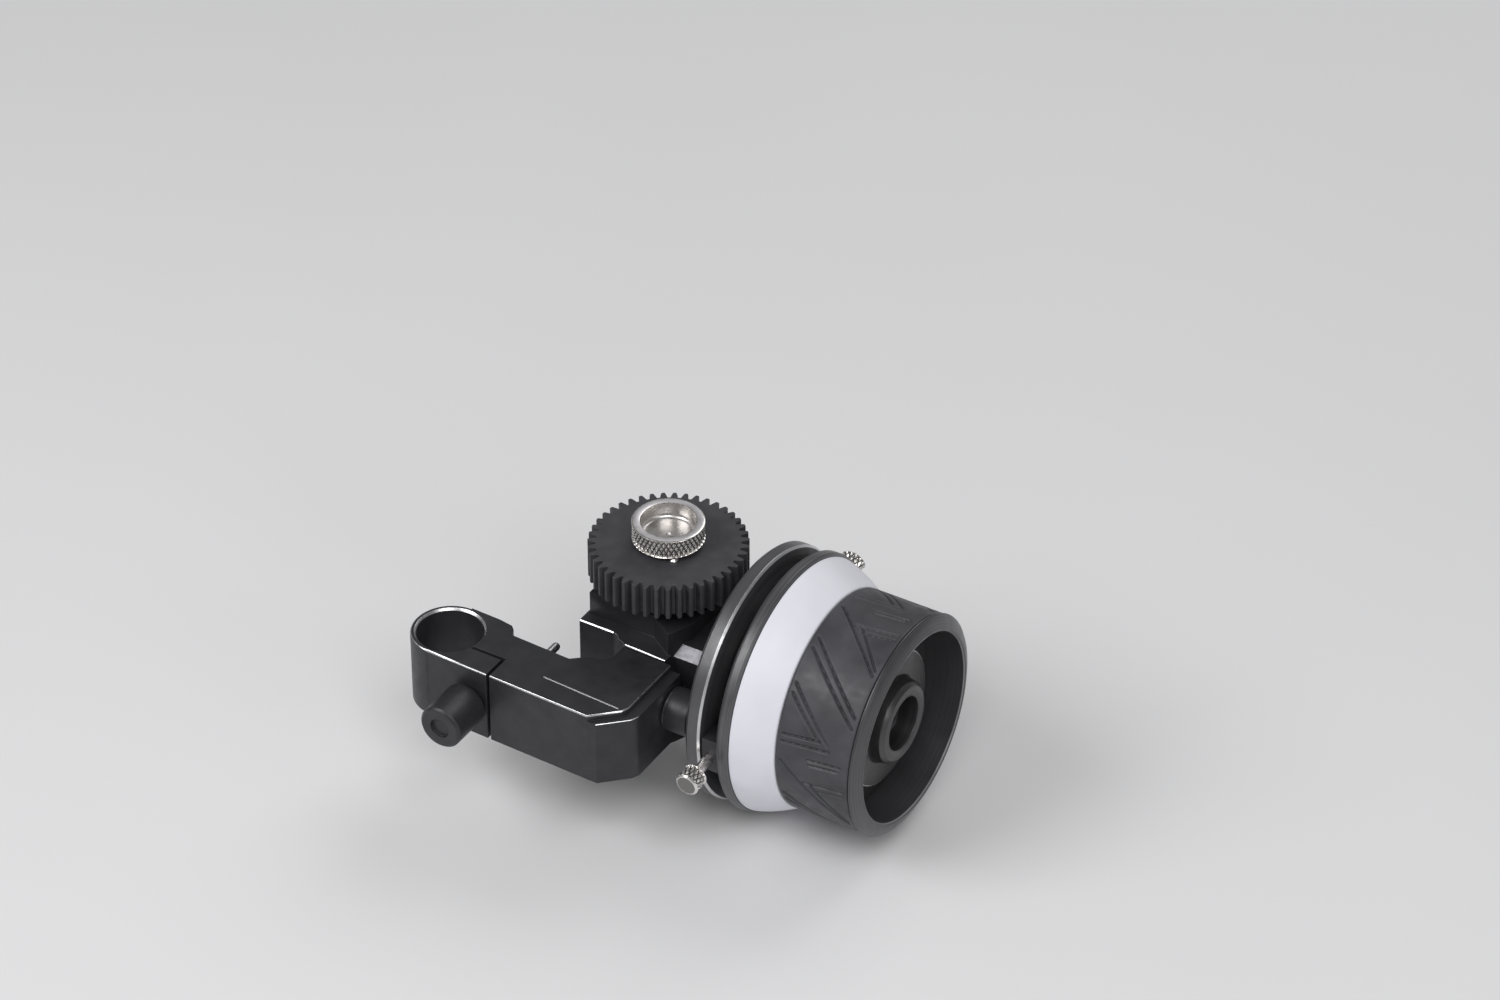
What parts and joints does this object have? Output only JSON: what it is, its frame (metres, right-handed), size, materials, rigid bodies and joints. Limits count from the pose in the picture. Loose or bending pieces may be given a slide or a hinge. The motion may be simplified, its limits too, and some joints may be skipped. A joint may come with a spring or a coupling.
{
  "type": "follow focus unit",
  "caption": "Rod-clamped follow focus: a slotted arm carries a gearbox whose rubber-gripped hand wheel with marking ring and hard stops turns a toothed drive gear.",
  "frame": {"origin": "middle of the rod bore, halfway up the clamp arm", "axes": "+Z along the rod bore towards the drive gear, +X outwards along the hand wheel's axis, +Y from the rod towards the gearbox"},
  "size_m": [0.1092, 0.0887, 0.063],
  "materials": {
    "anodised_arm": "satin black anodised aluminium with polished edges",
    "anodised_body": "satin black anodised aluminium",
    "anodised_wheel": "satin black anodised aluminium",
    "gear_plastic": "matte dark acetal",
    "knurled_nickel": "knurled bright nickel",
    "steel": "turned steel",
    "dark_screws": "blackened steel",
    "bearing_steel": "ground steel",
    "bevel_brass": "machined brass",
    "ring_white": "matte white plastic that can be written on",
    "grip_rubber": "moulded dark rubber"
  },
  "bodies": {
    "arm": {"clamp_arm": "anodised_arm", "limit_pin": "steel", "lock_pad": "bevel_brass"},
    "clamp_screw": {"clamp_knob": "anodised_arm", "clamp_stud": "steel"},
    "lock_screw": {"lock_knob": "anodised_arm", "lock_stud": "steel"},
    "gearbox": {"gearbox_housing": "anodised_body", "slide_tongue": "anodised_body", "tongue_screws": "dark_screws", "drive_cover_top": "anodised_body", "drive_cover_bottom": "anodised_body", "cover_screws": "dark_screws", "drive_bearing_top": "bearing_steel", "drive_bearing_bottom": "bearing_steel", "wheel_bearing_inner": "bearing_steel", "wheel_bearing_outer": "bearing_steel", "index_flange": "anodised_wheel", "flange_screws": "dark_screws", "stop_pin": "steel"},
    "hand_wheel": {"wheel_shaft": "steel", "wheel_bevel": "bevel_brass", "wheel_hub": "anodised_wheel", "index_rim": "anodised_wheel", "marking_ring": "ring_white", "grip_sleeve": "anodised_wheel", "rubber_grip": "grip_rubber", "end_cap": "anodised_wheel", "hub_cover": "anodised_wheel", "hub_screw": "dark_screws"},
    "drive": {"drive_shaft": "steel", "drive_bevel": "bevel_brass", "drive_collar": "steel", "drive_gear": "gear_plastic", "drive_pins": "knurled_nickel"},
    "gear_screw": {"gear_knob": "knurled_nickel", "knob_stud": "steel"},
    "stop_a": {"stop_block_a": "anodised_wheel"},
    "stop_a_screw": {"stop_screw_a": "knurled_nickel"},
    "stop_b": {"stop_block_b": "anodised_wheel"},
    "stop_b_screw": {"stop_screw_b": "knurled_nickel"}
  },
  "joints": [
    {"name": "clamp_turn", "type": "hinge", "parent": "arm", "child": "clamp_screw", "pos_m": [0.0109, -0.00927, 0], "axis": [0, -1, 0], "range_deg": [0, 410]},
    {"name": "lock_turn", "type": "hinge", "parent": "arm", "child": "lock_screw", "pos_m": [0.0512, 0.0105, 0.001], "axis": [1, 0, 0], "range_deg": [0, 360]},
    {"name": "gearbox_slide", "type": "slide", "parent": "arm", "child": "gearbox", "axis": [0, 1, 0], "range_m": [0, 0.012]},
    {"name": "wheel_turn", "type": "hinge", "parent": "gearbox", "child": "hand_wheel", "pos_m": [0.0628, 0.033, 0], "axis": [1, 0, 0], "range_deg": [-80, 80]},
    {"name": "drive_turn", "type": "hinge", "parent": "gearbox", "child": "drive", "pos_m": [0.0368, 0.033, 0], "axis": [0, 0, 1], "range_deg": [-80, 80]},
    {"name": "gear_knob_turn", "type": "hinge", "parent": "drive", "child": "gear_screw", "pos_m": [0.0368, 0.033, 0.0267], "axis": [0, 0, 1], "range_deg": [0, 360]},
    {"name": "stop_a_turn", "type": "hinge", "parent": "hand_wheel", "child": "stop_a", "pos_m": [0.06513, 0.033, 0], "axis": [1, 0, 0], "range_deg": [-145, 80]},
    {"name": "stop_b_turn", "type": "hinge", "parent": "hand_wheel", "child": "stop_b", "pos_m": [0.06513, 0.033, 0], "axis": [1, 0, 0], "range_deg": [-80, 145]},
    {"name": "stop_a_screw_turn", "type": "hinge", "parent": "stop_a", "child": "stop_a_screw", "pos_m": [0.06513, 0.033, 0], "axis": [0, -0.9962, -0.0872], "range_deg": [0, 180]},
    {"name": "stop_b_screw_turn", "type": "hinge", "parent": "stop_b", "child": "stop_b_screw", "pos_m": [0.06513, 0.033, 0], "axis": [0, 0.9563, 0.2924], "range_deg": [0, 180]}
  ],
  "couplings": [
    {"joint": "drive_turn", "follows": "wheel_turn", "ratio": -1}
  ]
}
